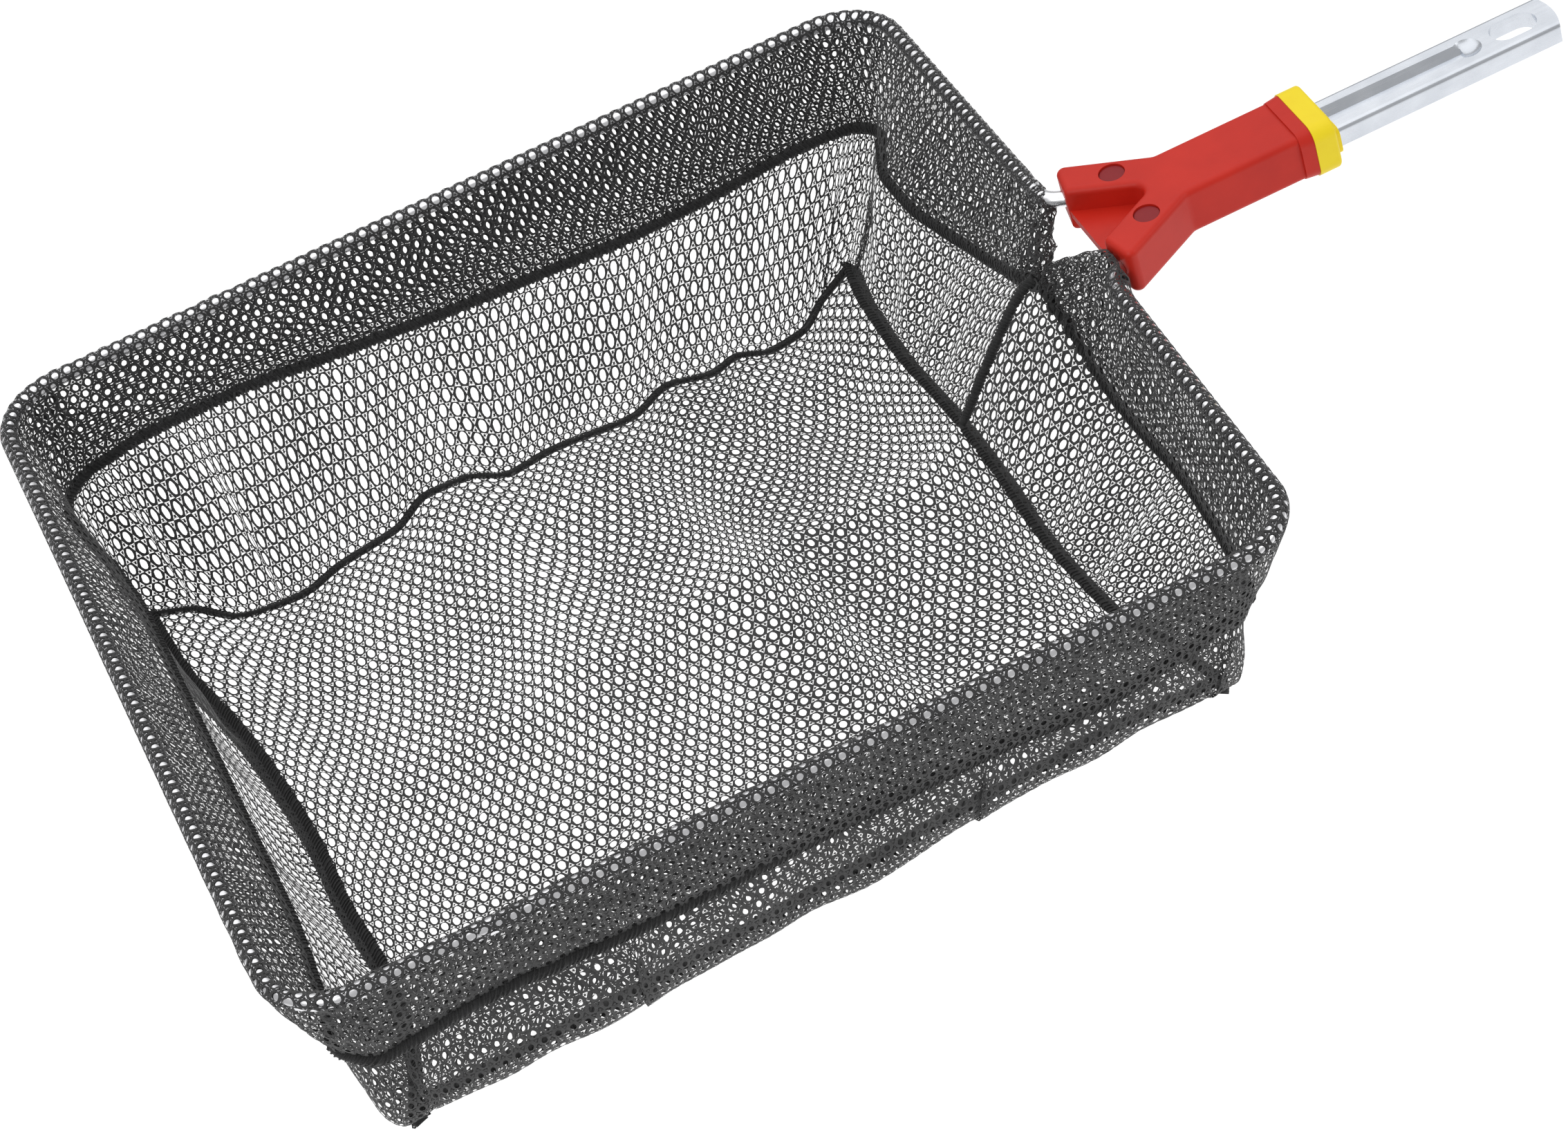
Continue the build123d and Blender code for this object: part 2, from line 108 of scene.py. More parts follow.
def spline(table, at):
    """Smooth curve through rows of (position, values...), read at an array of positions."""
    table = np.array(table, float)
    x, y = table[:, 0], table[:, 1:]
    rise = np.diff(y, axis=0) / np.diff(x)[:, None]
    before, after = rise[:-1], rise[1:]
    same_way = before * after > 0
    slope = np.zeros_like(y)
    slope[1:-1][same_way] = 2 * (before * after)[same_way] / (before + after)[same_way]
    slope[0], slope[-1] = rise[0], rise[-1]
    i = np.clip(np.searchsorted(x, at) - 1, 0, len(x) - 2)
    h = (x[i + 1] - x[i])[:, None]
    t = np.clip((at - x[i])[:, None] / h, 0, 1)
    return ((2 * t ** 3 - 3 * t ** 2 + 1) * y[i] + (t ** 3 - 2 * t ** 2 + t) * h * slope[i]
            + (3 * t ** 2 - 2 * t ** 3) * y[i + 1] + (t ** 3 - t ** 2) * h * slope[i + 1])


def step(a, b, x):
    t = np.clip((x - a) / (b - a), 0, 1)
    return t * t * (3 - 2 * t)


def ring(u):
    """Centreline of the rod and its outward direction, at cloth positions u in mm, both flat."""
    h, r = HALF_RING, CORNER_RADIUS
    # Each run: where it begins, its first point, its direction and the length of its straight part.
    runs = [(0, 0, NOTCH_Y, 0, 1, U_CORNER_1), (U_FAR, -r, h, -1, 0, STRAIGHT),
            (U_END, -2 * h, h - r, 0, -1, STRAIGHT), (U_NEAR, r - 2 * h, -h, 1, 0, STRAIGHT),
            (U_BACK, 0, r - h, 0, 1, U_TOTAL - U_BACK)]
    x, y, nx, ny = (np.zeros_like(u) for _ in range(4))
    for begin, sx, sy, dx, dy, length in runs:
        on = u >= begin if begin else np.ones(len(u), bool)
        d = (u - begin)[on]
        straight = np.minimum(d, length)
        turn = np.clip((d - length) / r, 0, math.pi / 2) if begin < U_BACK else 0 * d
        ox, oy = dy * np.cos(turn) + dx * np.sin(turn), dy * np.sin(turn) - dx * np.cos(turn)
        x[on] = sx + dx * straight - r * dy + r * ox
        y[on] = sy + dy * straight + r * dx + r * oy
        nx[on], ny[on] = ox, oy
    return np.stack([x, y], 1), np.stack([nx, ny], 1)


def side_u(side, along):
    """Cloth position of a place on a side, given by y on the handle sides and the end, else by x."""
    return {"handle_far": along - NOTCH_Y, "far": U_FAR - CORNER_RADIUS - along,
            "end": U_END + HALF_RING - CORNER_RADIUS - along,
            "near": U_NEAR + 2 * HALF_RING - CORNER_RADIUS + along,
            "handle_near": U_BACK + HALF_RING - CORNER_RADIUS + along}[side]


def rows_of(side, *rows):
    return [(side_u(side, r[0]), *r[1:]) for r in rows]


# The rod's two handle-side runs slant out a little towards the socket.
ROD_BOW = 3.2
BEND_Y = 23.0


def bow(u):
    """How far the rod lies outward of the plain square ring."""
    place, out = ring(u)
    slant = ROD_BOW / (HALF_RING - BEND_Y)
    on_handle_side = (u < U_CORNER_1) | (u > U_BACK)
    on_straight = slant * (HALF_RING - np.abs(place[:, 1]))
    on_corner = slant * CORNER_RADIUS * np.maximum(out[:, 0], 0)
    return np.where(on_handle_side, on_straight, on_corner)


# Sleeve top: how far its top edge leaves the rod (outward, along, up) beside the socket.
LEAVE = [(0, -12, -4, -17), (4, -8, -3, -12.5), (7, -4.5, -1.5, -8), (9, -2, -0.5, -4), (11, 0, 0, -0.8),
         (13, 0, 0, 0), (24, 0, 0, 0), (U_TOTAL - 55, 0, 0, 0), (U_TOTAL - 47, 1.4, 0, 0.4),
         (U_TOTAL - 40, 2.4, 0, 1.4), (U_TOTAL - 33, 1.8, 0, 1.4), (U_TOTAL - 26, -1.4, 0, -1.6),
         (U_TOTAL - 18, -4.8, 0, -7), (U_TOTAL - 9, -9, -1, -12.5), (U_TOTAL, -12, -5, -17)]
# The gathered ends stay in front of the prongs' faces, as far to each side as the prongs reach.
PRONG_FACE = 7.9
PRONG_SIDE = 32
# Hem seam: inset from the rod's centreline and height.
HEM = (rows_of("handle_far", (14, 10, -20), (21, 10.5, -25), (45, 11, -38), (71, 14, -44), (96, 19, -46),
               (113, 23, -45), (134, 24, -44), (150, 19, -44))
       + [(U_C1, 11, -45)]
       + rows_of("far", (-30, 6, -45), (-50, 4, -46), (-84, 4, -49), (-118, 4, -50), (-150, 4, -48),
                 (-182, 4, -46), (-214, 4, -43), (-246, 4, -40), (-277, 4, -37), (-309, 4, -37),
                 (-335, 5, -40))
       + [(U_C2, 6, -42)]
       + rows_of("end", (140, 10, -43), (110, 15, -43), (80, 17, -43), (30, 17, -42), (-30, 17, -41),
                 (-90, 17, -39), (-140, 14, -36))
       + [(U_C3, 10, -33)]
       + rows_of("near", (-333, 11, -36), (-319, 12, -35), (-295, 12, -33), (-270, 12, -34), (-244, 12, -36),
                 (-195, 12, -37), (-144, 12, -37), (-113, 12, -37), (-84, 12, -39), (-50, 13, -38),
                 (-28, 15, -36))
       + [(U_C4, 18, -37)]
       + rows_of("handle_near", (-140, 12, -42), (-110, 8, -45), (-77, 6, -46), (-57, 7, -46), (-39, 8, -44),
                 (-22, 9, -37), (-8, 10, -27), (4, 11, -23), (14, 10, -20)))
# Floor seam: place and height.
FLOOR = ([(0, -45, 43, -92), (30, -46, 62, -92), (75, -48, 95, -92), (115, -47, 130, -92),
          (U_C1, -43, 157, -93)]
         + [(U_C1 + k * (U_END - U_FAR), x, y, z) for k, x, y, z in (
             (0.05, -58, 147, -94), (0.10, -73, 135, -95), (0.145, -86, 133, -95), (0.19, -99, 140, -96),
             (0.23, -110, 137, -96), (0.285, -127, 142, -96), (0.345, -146, 135, -97), (0.45, -178, 138, -97),
             (0.51, -196, 136, -97), (0.56, -212, 145, -97), (0.61, -227, 146, -97), (0.67, -245, 136, -98),
             (0.75, -270, 131, -98), (0.81, -287, 125, -98), (0.85, -299, 126, -98), (0.895, -312, 131, -99),
             (0.945, -327, 147, -99))]
         + [(U_C2, -341, 154, -99)]
         + rows_of("end", (140, -340, 135, -99), (115, -338, 112, -99), (85, -332, 82, -99),
                   (56, -328, 55, -98), (22, -325, 24, -98), (-10, -323.5, -8, -98), (-40, -324, -37, -98),
                   (-80, -322, -75, -98), (-125, -325, -115, -98))
         + [(U_C3, -334, -146, -96)]
         + rows_of("near", (-334, -325, -146, -92), (-306, -304, -145, -93), (-264, -262, -144, -92),
                   (-200, -199, -144, -88), (-146, -148, -144, -84), (-100, -105, -145, -81),
                   (-60, -68, -145, -79), (-35, -42, -145, -80))
         + [(U_C4, -29, -145, -82)]
         + [(U_TOTAL - 150, -35, -108, -88), (U_TOTAL - 115, -43, -77, -91), (U_TOTAL - 60, -46, -26, -92),
            (U_TOTAL - 25, -45, 12, -92), (U_TOTAL, -45, 43, -92)])
# Bagging of the wall cloth between the seams: outward at mid height, outward near the floor, and the
# drop below the floor seam.
BAG = [(0, 0, 2, 0), (U_C1, 2, 5, 1), (U_FAR + 150, 1, 4, 1), (U_C2, 2, 5, 1),
       (U_END + 150, 4, 8, 3), (U_NEAR - 60, 5, 12, 4), (U_C3, 6, 16, 3), (U_NEAR + 60, 7, 17, 9),
       (U_NEAR + 160, 7, 17, 7), (U_NEAR + 260, 6, 16, 3), (U_C4, 3, 12, 4),
       (U_BACK + 50, 3, 8, 1), (U_TOTAL, 0, 2, 0)]
# Pleats of the wall cloth: centre on the ring, the extra cloth that each one takes up, and its width.
PLEATS = [(side_u("handle_far", 72), 8, 4.4), (U_CORNER_1 + 2, 15, 3.6), (U_CORNER_1 + 36, 13, 3.6),
          (U_FAR + 272, 9, 4.6), (U_C2 - 22, 9, 4.6), (U_C3 + 20, 15, 3.6),
          (side_u("near", -250), 16, 3.6), (side_u("near", -120), 16, 3.6), (U_C4 - 20, 13, 3.6),
          (side_u("handle_near", -85), 8, 4.6)]
# Every pleat's width at the hem, where it opens out, and its height.
PLEAT_OPEN = 14.0
PLEAT_LIFT = 1.3
WALL_LENGTH = U_TOTAL + sum(extra for _, extra, _ in PLEATS)
# Soft folds: centre, wavelength, height, spread.
FOLDS = [(40, 34, 3.0, 26), (95, 40, 3.2, 30), (U_FAR + 60, 52, 3.0, 60), (U_FAR + 170, 58, 3.0, 70),
         (U_FAR + 262, 46, 3.4, 45), (U_END + 60, 64, 2.8, 50), (U_END + 180, 70, 3.0, 60),
         (U_END + 265, 50, 3.6, 40), (U_NEAR + 70, 56, 2.6, 50), (U_NEAR + 165, 66, 2.6, 55),
         (U_NEAR + 250, 58, 2.8, 45), (U_BACK + 40, 46, 3.2, 35), (U_BACK + 110, 40, 3.0, 30)]


def ripple(a, b, seed, scale=1.0):
    """Smooth seeded noise of two flat cloth coordinates in mm, about -1 to 1."""
    random = np.random.default_rng(seed)
    total = np.zeros_like(a)
    waves = 9
    for _ in range(waves):
        wave = random.uniform(22, 90) * scale
        turn = random.uniform(0, 2 * math.pi)
        shift = random.uniform(0, 2 * math.pi)
        total += np.sin((a * math.cos(turn) + b * math.sin(turn)) * 2 * math.pi / wave + shift)
    return total / (waves / 2)


SLEEVE_WIDTH = 96.0
WALL_WIDTH = 56.0
# Room between the rod and the sleeve, and the wrap's largest radius as a share of the way to the hem.
THREAD_GAP = 0.38
WRAP_LIMIT = 0.42
# The sleeve bulges where it bunches up beside the near prong: height, place and spread.
BUNCH = 2.4
BUNCH_PLACE = 39
BUNCH_SPREAD = 9
# How much further the sleeve's outer edge stands off on the near side.
FLAP_PROUD = 2.4
# The sleeve is ruched at its two ends: the extra cloth, and its spread beside the far and the near prong.
RUCHED = 1.3
RUCHED_FAR = 26
RUCHED_NEAR = 36
RING_STEPS = 4000
ring_grid = np.linspace(0, U_TOTAL, RING_STEPS)
ruching = (1 + RUCHED * np.exp(-(ring_grid / RUCHED_FAR) ** 2)
           + RUCHED * np.exp(-((U_TOTAL - ring_grid) / RUCHED_NEAR) ** 2))
cloth_grid = np.concatenate([[0], np.cumsum((ruching[1:] + ruching[:-1]) / 2 * np.diff(ring_grid))])
SLEEVE_LENGTH = cloth_grid[-1]


def sleeve_cloth(c, v):
    return sleeve(np.interp(c, cloth_grid, ring_grid), v, c)


def sleeve(u, v, c=None):
    """Tunnel round the rod: v runs from the outer hem edge, over the rod, to the inner hem edge."""
    c = np.interp(u, ring_grid, cloth_grid) if c is None else c
    f = v / SLEEVE_WIDTH
    place, out = ring(u)
    leave = spline(LEAVE, u)
    hem = spline(HEM, u)
    inset, height = hem[:, 0], hem[:, 1]
    beyond = leave[:, 0] + bow(u)
    away = inset + beyond
    below = height - leave[:, 2]
    d = np.hypot(away, below)
    bunch = BUNCH * np.exp(-((U_TOTAL - BUNCH_PLACE - u) / BUNCH_SPREAD) ** 2)
    radius = np.minimum(ROD_RADIUS + THREAD_GAP + bunch, WRAP_LIMIT * d)
    facing = np.arctan2(below, -away)
    half = np.arccos(radius / d)
    flat = np.sqrt(d ** 2 - radius ** 2)
    wrap = radius * 2 * (math.pi - half)
    s = f * (2 * flat + wrap)
    outer = s < flat
    inner = s > flat + wrap
    angle = np.clip(facing + half + (s - flat) / radius, facing + half, facing + 2 * math.pi - half)
    a, z = radius * np.cos(angle), radius * np.sin(angle)
    t = np.where(outer, s / flat, np.where(inner, (2 * flat + wrap - s) / flat, 1))
    hem_a, hem_z = -away, below
    a, z = hem_a + (a - hem_a) * t, hem_z + (z - hem_z) * t
    belly = np.sin(math.pi * t)
    loose = step(4, 26, d)
    side = np.where(outer, 1.0, -1.0) * (outer | inner)
    wrinkle = ripple(u, v * 0.7, 11) * 0.9 + ripple(u, v, 12, 0.45) * 0.35
    on_near = step(U_NEAR - 50, U_NEAR, u) * (1 - step(U_BACK - 40, U_BACK, u))
    proud = np.where(outer, 1.0 + FLAP_PROUD * on_near, 1.0)
    a = a + side * (belly * (1.5 + wrinkle) + proud * (1 - t) ** 2) * loose
    z = z + np.where(outer, -1.6, 0.0) * (1 - t) ** 3 * loose
    # Where the hem comes close to the rod the cloth is gathered, and it is ruffled at its two ends.
    gather = 1 - step(20, 46, d)
    ruffle = np.exp(-(u / 24) ** 2) + np.exp(-((U_TOTAL - u) / 34) ** 2)
    room = np.minimum(d / 10, 1)
    a = a + (gather * 0.9 * np.sin(f * 46 + c * 0.3) + side * ruffle * 1.2 * np.sin(c * 0.62 + 2 * f)) * room
    z = z + (gather * 0.6 * np.cos(f * 39 - c * 0.4) + ruffle * 0.5 * np.cos(c * 0.7)) * room
    along = np.stack([-out[:, 1], out[:, 0]], 1)
    xy = place + out * (a + beyond)[:, None] + along * leave[:, 1][:, None]
    xy[:, 0] = np.where(np.abs(xy[:, 1]) < PRONG_SIDE, np.minimum(xy[:, 0], PRONG_FACE), xy[:, 0])
    return np.column_stack([xy, z + leave[:, 2]])


# The wall begins this far inside and above the hem's line.
WALL_TUCK, WALL_RISE = 0.8, 1.0
# The first control point of its curve: share of the way to the floor seam, and drop below the start.
HANG_SHARE, HANG_DROP = 0.36, 15


def wall_cloth_at(u):
    """Position along the wall's cloth of a place on the ring, away from the pleats."""
    return u + sum(extra for centre, extra, _ in PLEATS if centre < u)


def wall(c, v):
    """Side wall: c runs along the cloth and v from the hem seam down to the floor seam."""
    g = np.clip(v / WALL_WIDTH, 0, 1)
    opened = 1 - step(0.0, 0.5, g)
    u = c.copy()
    lift = np.zeros_like(c)
    taken = 0.0
    for centre, extra, width in PLEATS:
        x = (c - centre - taken - extra / 2) / (width + (PLEAT_OPEN - width) * opened)
        u -= extra * (1 + np.tanh(x)) / 2
        lift += PLEAT_LIFT * np.tanh(x) * np.exp(-(x / 3) ** 2)
        taken += extra
    u = np.clip(u, 0, U_TOTAL)
    place, out = ring(u)
    hem = spline(HEM, u)
    foot = spline(FLOOR, u)
    bag = spline(BAG, u)
    start = np.column_stack([place - out * (hem[:, 0] + WALL_TUCK)[:, None], hem[:, 1] + WALL_RISE])
    up = np.array([0, 0, 1.0])
    out3 = np.column_stack([out, np.zeros(len(u))])
    first = start * (1 - HANG_SHARE) + foot * HANG_SHARE + out3 * bag[:, 0:1]
    first[:, 2] = start[:, 2] - HANG_DROP
    second = foot + out3 * bag[:, 1:2] - up * bag[:, 2:3]
    q = g[:, None]
    point = ((1 - q) ** 3 * start + 3 * (1 - q) ** 2 * q * first + 3 * (1 - q) * q ** 2 * second
             + q ** 3 * foot)
    free = np.sin(math.pi * g ** 0.9)
    swell = np.zeros_like(u)
    for centre, wave, height, spread in FOLDS:
        near = np.exp(-(((u - centre) / spread) ** 2))
        swell += height * near * np.sin(2 * math.pi * (u - centre) / wave + 0.02 * v)
    swell = swell * free * (0.5 + 0.4 * g) + lift * free ** 0.5 + ripple(c, v, 21, 0.7) * 1.1 * free
    return point + out3 * swell[:, None] + up * (ripple(c, v, 22) * 0.8 * free)[:, None]


FLOOR_LONG = 300.0
FLOOR_WIDE = 300.0
FLOOR_ROW = 4.8
FLOOR_SAG = 2.0
# How much the cloth is drawn together at the fold and the crease, and how high each one stands.
FOLD_DRAW, CREASE_DRAW = 0.42, 0.40
FOLD_RISE, CREASE_RISE = 3.4, 3.0


def fold_line(a, b):
    """Offset in a from the long fold that crosses the floor from the near side to the far side."""
    return a - 96 - 0.16 * (b - 150)


def crease_line(a, b):
    """Offset in b from the short crease in the corner between the end and the near side."""
    return b - 66 + 0.45 * (a - 225)


def crease_reach(a):
    """Share of the crease that is left at a: it fades to both sides."""
    return np.exp(-(((a - 240) / 40) ** 2))


def floor(a, b):
    """Floor sheet: a runs from the handle side to the end, b from the near side to the far side."""
    from_fold, from_crease = fold_line(a, b), crease_line(a, b)
    fold_near = np.exp(-((from_fold / 22) ** 2)) * step(0.0, 120.0, FLOOR_WIDE - b)
    crease_near = np.exp(-((from_crease / 16) ** 2)) * crease_reach(a)
    inside = step(0, 30, a) * step(0, 30, FLOOR_LONG - a) * step(0, 30, b) * step(0, 30, FLOOR_WIDE - b)
    p = np.clip((a - FOLD_DRAW * from_fold * fold_near * inside) / FLOOR_LONG, 0, 1)
    q = np.clip((b - CREASE_DRAW * from_crease * crease_near * inside) / FLOOR_WIDE, 0, 1)
    far = spline(FLOOR, U_C1 + (U_C2 - U_C1) * p)
    near = spline(FLOOR, U_C4 + (U_C3 - U_C4) * p)
    end = spline(FLOOR, U_C3 + (U_C2 - U_C3) * q)
    reach = (U_TOTAL - U_C4) + U_C1
    along = U_C4 + reach * q
    handle = spline(FLOOR, np.where(along > U_TOTAL, along - U_TOTAL, along))
    corner = spline(FLOOR, np.array([U_C4, U_C1, U_C3, U_C2]))
    p, q = p[:, None], q[:, None]
    point = ((1 - p) * handle + p * end + (1 - q) * near + q * far
             - (1 - p) * (1 - q) * corner[0] - (1 - p) * q * corner[1]
             - p * (1 - q) * corner[2] - p * q * corner[3])
    p, q = p[:, 0], q[:, 0]
    free = np.minimum(1, 6 * np.minimum(np.minimum(p, 1 - p), np.minimum(q, 1 - q)))
    free = free * free * (3 - 2 * free)
    sag = FLOOR_SAG * np.sin(math.pi * p) * np.sin(math.pi * q)
    fold = FOLD_RISE * np.exp(-((from_fold / 14) ** 2)) * fold_near ** 0.3
    crease = CREASE_RISE * np.exp(-((from_crease / 9) ** 2)) * crease_near ** 0.3
    point[:, 2] += free * (fold + crease - sag + 0.6 * ripple(a, b, 31, 2.2))
    point[:, 0] += free * 0.9 * ripple(a, b, 32, 2.0)
    point[:, 1] += free * 0.9 * ripple(a, b, 33, 2.0)
    return point


# ---------------------------------------------------------------- knitted net cloth
# Half width and half height of a hole.
FLOOR_HOLE = (1.37, 1.98)
WALL_HOLE = (1.26, 1.70)
SLEEVE_HOLE = (1.20, 1.62)
# How far each gap between holes reaches from its middle, and the inner radius of the lace star in it.
CORNER_CUT = 1.32
STAR = 0.36
# How far the thread stands above and below the cloth's surface, and the height of a star's middle.
RELIEF = 0.09
STAR_RELIEF = -0.05
# Unevenness of the holes and dips, and of the stars' places.
JITTER = 0.05
STAR_JITTER = 0.07
# Points round a hole, and arms of a star.
HOLE_SIDES = 12
ARMS = 6
# Points closer than this, in metres, are one point.
WELD = 2e-5
# How far the holes are drawn open along the wall and the sleeve.
WALL_OPEN = [(0, 0.82), (U_CORNER_1, 0.84), (U_FAR + 40, 1.05), (U_END - 60, 1.03), (U_END, 0.90),
             (U_NEAR, 0.84), (U_NEAR + 100, 0.74), (U_BACK, 0.84), (U_TOTAL, 0.86)]
SLEEVE_OPEN = [(0, 0.82), (U_FAR, 0.98), (U_END - 60, 0.95), (U_END, 0.92), (U_NEAR, 0.86), (U_TOTAL, 0.84)]


def wall_open(a, b):
    return spline(WALL_OPEN, a * U_TOTAL / WALL_LENGTH)[:, 0] * (1 + 0.07 * ripple(a, b, 42, 0.8))


def sleeve_open(a, b):
    over_rod = np.exp(-((b - SLEEVE_WIDTH / 2) / 5) ** 2)
    along = spline(SLEEVE_OPEN, np.interp(a, cloth_grid, ring_grid))[:, 0]
    return along * (1 + 0.20 * over_rod) * (1 + 0.05 * ripple(a, b, 41, 0.8))


def floor_open(a, b):
    by_handle = 0.16 * np.exp(-((a - 70) / 60) ** 2)
    by_crease = 0.22 * np.exp(-((crease_line(a, b) / 13) ** 2)) * crease_reach(a)
    return 1 - by_handle - by_crease + 0.06 * ripple(a, b, 43, 0.8)


def net(columns, rows, width, height, hole_size, opening):
    """Flat net of large oval holes with a small lace star in each gap between them.

    Returns flat points (along, down) and their relief, the quads round the holes and the stars'
    triangles, each with the cell that it belongs to, and the cells' centres."""
    centres = []
    row_height = height / rows
    column_width = width / columns
    for j in range(rows):
        for i in range(columns if j % 2 == 0 else columns - 1):
            centres.append(((i + (0.5 if j % 2 == 0 else 1.0)) * column_width, (j + 0.5) * row_height))
    centres = np.array(centres)
    k = np.arange(HOLE_SIDES)
    angle = math.radians(30) * k + math.radians(15)
    hole = np.stack([hole_size[0] * np.cos(angle), hole_size[1] * np.sin(angle)], 1)
    corner_angle = math.radians(60) * np.arange(6) + math.radians(30)
    corner = np.stack([np.cos(corner_angle), np.sin(corner_angle)], 1) / math.sqrt(3)
    corner[:, 0] *= column_width
    corner[:, 1] *= row_height * 2 / math.sqrt(3)
    edge = []
    for c in range(6):
        for other in (c - 1, (c + 1) % 6):
            along = corner[other] - corner[c]
            edge.append(corner[c] + along / np.linalg.norm(along) * CORNER_CUT)
    edge = np.array(edge)
    n = len(centres)
    jitter = np.random.default_rng(5).normal(0, JITTER, (n, HOLE_SIDES, 2))
    slack = opening(centres[:, 0], centres[:, 1])
    inner = centres[:, None] + hole[None] * slack[:, None, None] + jitter
    outer = centres[:, None] + edge[None]
    points = [inner.reshape(-1, 2), outer.reshape(-1, 2)]
    rim = n * HOLE_SIDES
    relief = [np.full(rim, -RELIEF), np.full(rim, RELIEF)]
    base = np.arange(n)[:, None] * HOLE_SIDES
    after = (k + 1) % HOLE_SIDES
    quads = np.stack([base + k, rim + base + k, rim + base + after, base + after], 2).reshape(-1, 4)
    quads_cell = np.repeat(np.arange(n), HOLE_SIDES)
    # Each cell owns two of the gaps at its corners: a lace star with six arms stands in each.
    stars, star_cells = [], []
    start = 2 * rim
    random = np.random.default_rng(6)
    for own in (0, 1):
        arms = [corner[own - 1] - corner[own], corner[(own + 1) % 6] - corner[own], corner[own]]
        arms = sorted((arm / np.linalg.norm(arm) for arm in arms), key=lambda arm: math.atan2(arm[1], arm[0]))
        tips = []
        for m in range(3):
            tips += [arms[m] * CORNER_CUT, (arms[m] + arms[(m + 1) % 3]) * CORNER_CUT / 2]
        tips = np.array(tips)
        dips = tips + np.roll(tips, -1, axis=0)
        dips = dips / np.linalg.norm(dips, axis=1, keepdims=True) * STAR
        middle = centres + corner[own]
        shift = random.normal(0, STAR_JITTER, (n, 1, 2))
        tip_points = middle[:, None] + tips[None] + shift * np.array([0, 1] * 3)[None, :, None]
        dip_points = middle[:, None] + dips[None] + shift + random.normal(0, JITTER, (n, ARMS, 2))
        points += [middle + shift[:, 0], tip_points.reshape(-1, 2), dip_points.reshape(-1, 2)]
        relief += [np.full(n, STAR_RELIEF), np.tile([RELIEF, 0.0] * 3, n), np.zeros(ARMS * n)]
        # The stars' points stand in this order: all the middles, then all the tips, then all the dips.
        hub = start + np.arange(n)
        tip = start + n + np.arange(n) * ARMS
        dip = start + (1 + ARMS) * n + np.arange(n) * ARMS
        for m in range(ARMS):
            stars += [np.stack([hub, tip + m, dip + m], 1), np.stack([hub, dip + m, tip + (m + 1) % ARMS], 1)]
            star_cells += [np.arange(n), np.arange(n)]
        start += (1 + 2 * ARMS) * n
    points = np.concatenate(points)
    points[:, 0] = np.clip(points[:, 0], 0, width)
    points[:, 1] = np.clip(points[:, 1], 0, height)
    return (points, np.concatenate(relief), quads, quads_cell, np.concatenate(stars),
            np.concatenate(star_cells), centres)


def lay(surface, points, relief):
    """Places flat net points on a surface, with the relief along its normal, in metres."""
    a, b = points[:, 0], points[:, 1]
    # Half the span, in mm, over which the surface's slope is taken.
    reach = 0.4
    at = surface(a, b)
    da = surface(a + reach, b) - surface(a - reach, b)
    db = surface(a, b + reach) - surface(a, b - reach)
    normal = np.cross(da, db)
    size = np.linalg.norm(normal, axis=1, keepdims=True)
    normal = normal / np.maximum(size, 1e-9)
    placed = at + normal * relief[:, None]
    return (placed + np.array([RING_X, 0, 0])) * MM


def without_repeats(faces):
    """The faces, with only the first of those that have the same corners."""
    _, first = np.unique(np.sort(faces, 1), axis=0, return_index=True)
    return faces[np.sort(first)]


def mesh_object(name, points, quads, triangles, material):
    """One mesh from numpy points, quads and triangles, with only the points that the faces use, welded."""
    quads = np.asarray(quads, int).reshape(-1, 4)
    triangles = np.asarray(triangles, int).reshape(-1, 3)
    used, back = np.unique(np.concatenate([quads.ravel(), triangles.ravel()]), return_inverse=True)
    points = points[used]
    rounded = np.round(points / WELD).astype(np.int64)
    _, first, same = np.unique(rounded, axis=0, return_index=True, return_inverse=True)
    points = points[first]
    back = same.ravel()[back]
    quads, triangles = back[:quads.size].reshape(-1, 4), back[quads.size:].reshape(-1, 3)
    sorted_q = np.sort(quads, 1)
    good = (np.diff(sorted_q, axis=1) > 0).all(1)
    bad = quads[~good]
    extra = []
    # A quad that the weld has narrowed to three points goes on as a triangle.
    for q in bad:
        keep = [q[i] for i in range(4) if q[i] != q[i - 1]]
        if len(set(keep)) == 3 and len(keep) == 3:
            extra.append(keep)
    quads = quads[good]
    if extra:
        triangles = np.concatenate([triangles, np.array(extra)])
    triangles = triangles[(np.diff(np.sort(triangles, 1), axis=1) > 0).all(1)]
    # Left to mesh.validate, the face that stays of two with the same corners would differ between runs.
    quads, triangles = without_repeats(quads), without_repeats(triangles)
    mesh = bpy.data.meshes.new(name)
    mesh.vertices.add(len(points))
    mesh.vertices.foreach_set("co", points.astype(np.float32).ravel())
    loops = np.concatenate([quads.ravel(), triangles.ravel()]).astype(np.int32)
    mesh.loops.add(len(loops))
    mesh.loops.foreach_set("vertex_index", loops)
    starts = np.concatenate([np.arange(len(quads)) * 4, len(quads) * 4 + np.arange(len(triangles)) * 3])
    mesh.polygons.add(len(starts))
    mesh.polygons.foreach_set("loop_start", starts.astype(np.int32))
    mesh.update(calc_edges=True)
    mesh.validate()
    mesh.polygons.foreach_set("use_smooth", np.full(len(mesh.polygons), True))
    mesh.materials.append(material)
    thing = bpy.data.objects.new(name, mesh)
    bpy.context.scene.collection.objects.link(thing)
    return thing


# ---------------------------------------------------------------- materials
def new_material(name):
    made = bpy.data.materials.new(name)
    made.use_nodes = True
    tree = made.node_tree
    shader = tree.nodes["Principled BSDF"]
    return made, tree, shader


